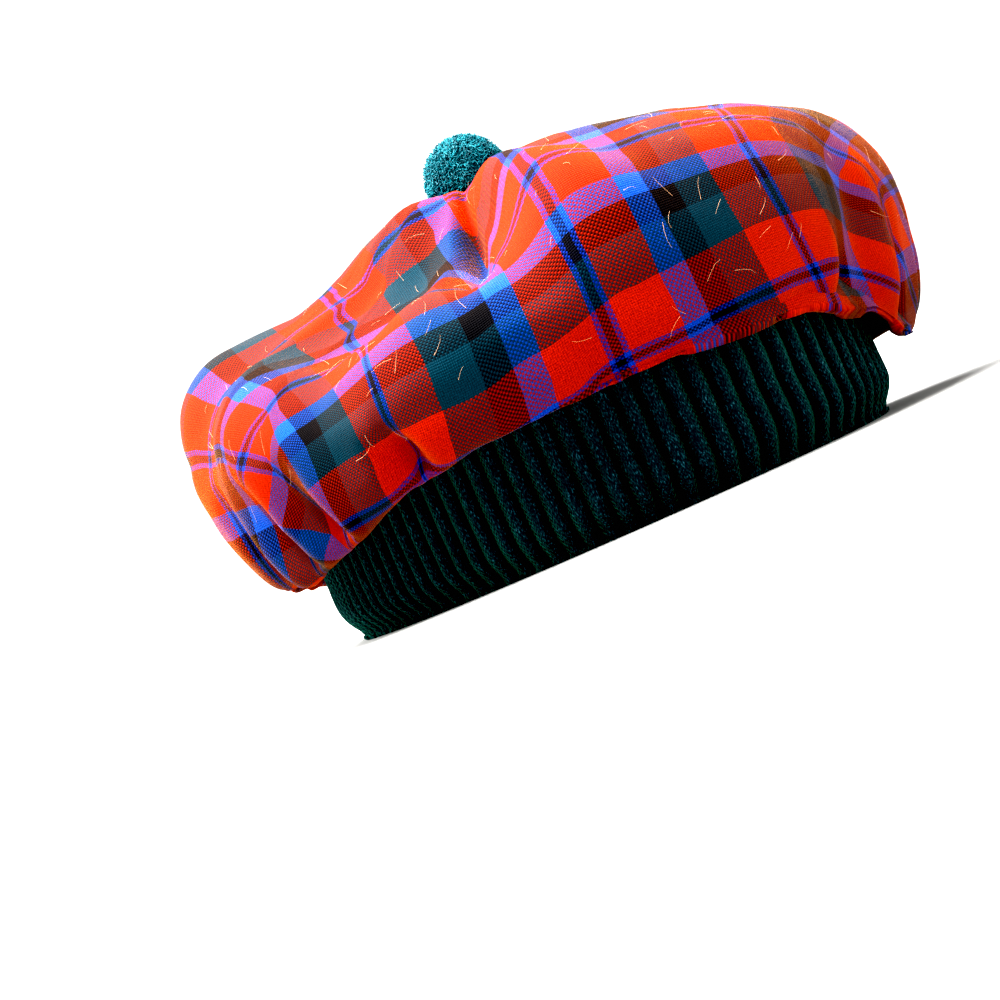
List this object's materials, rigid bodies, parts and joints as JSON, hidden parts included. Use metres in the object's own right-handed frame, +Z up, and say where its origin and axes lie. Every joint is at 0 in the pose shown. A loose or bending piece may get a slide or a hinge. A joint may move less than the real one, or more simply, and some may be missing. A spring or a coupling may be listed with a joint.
{
  "type": "tam o shanter",
  "caption": "Round tartan wool tam with a full gathered crown, a ribbed knit headband and a small wool pompom on top.",
  "frame": {"origin": "middle of the crown's outline on the floor under the band's lower rim", "axes": "+Z up through the pompom, -Y towards the front of the hat, +X to the wearer's left"},
  "size_m": [0.2336, 0.2296, 0.1312],
  "materials": {
    "tartan": "plain woven wool tartan, red with green, blue and black",
    "rib_knit": "ribbed wool knit, dark bottle green",
    "pompom_wool": "teal wool locks"
  },
  "bodies": {
    "root": {"crown": "tartan", "headband": "rib_knit", "pompom": "pompom_wool"}
  },
  "joints": []
}
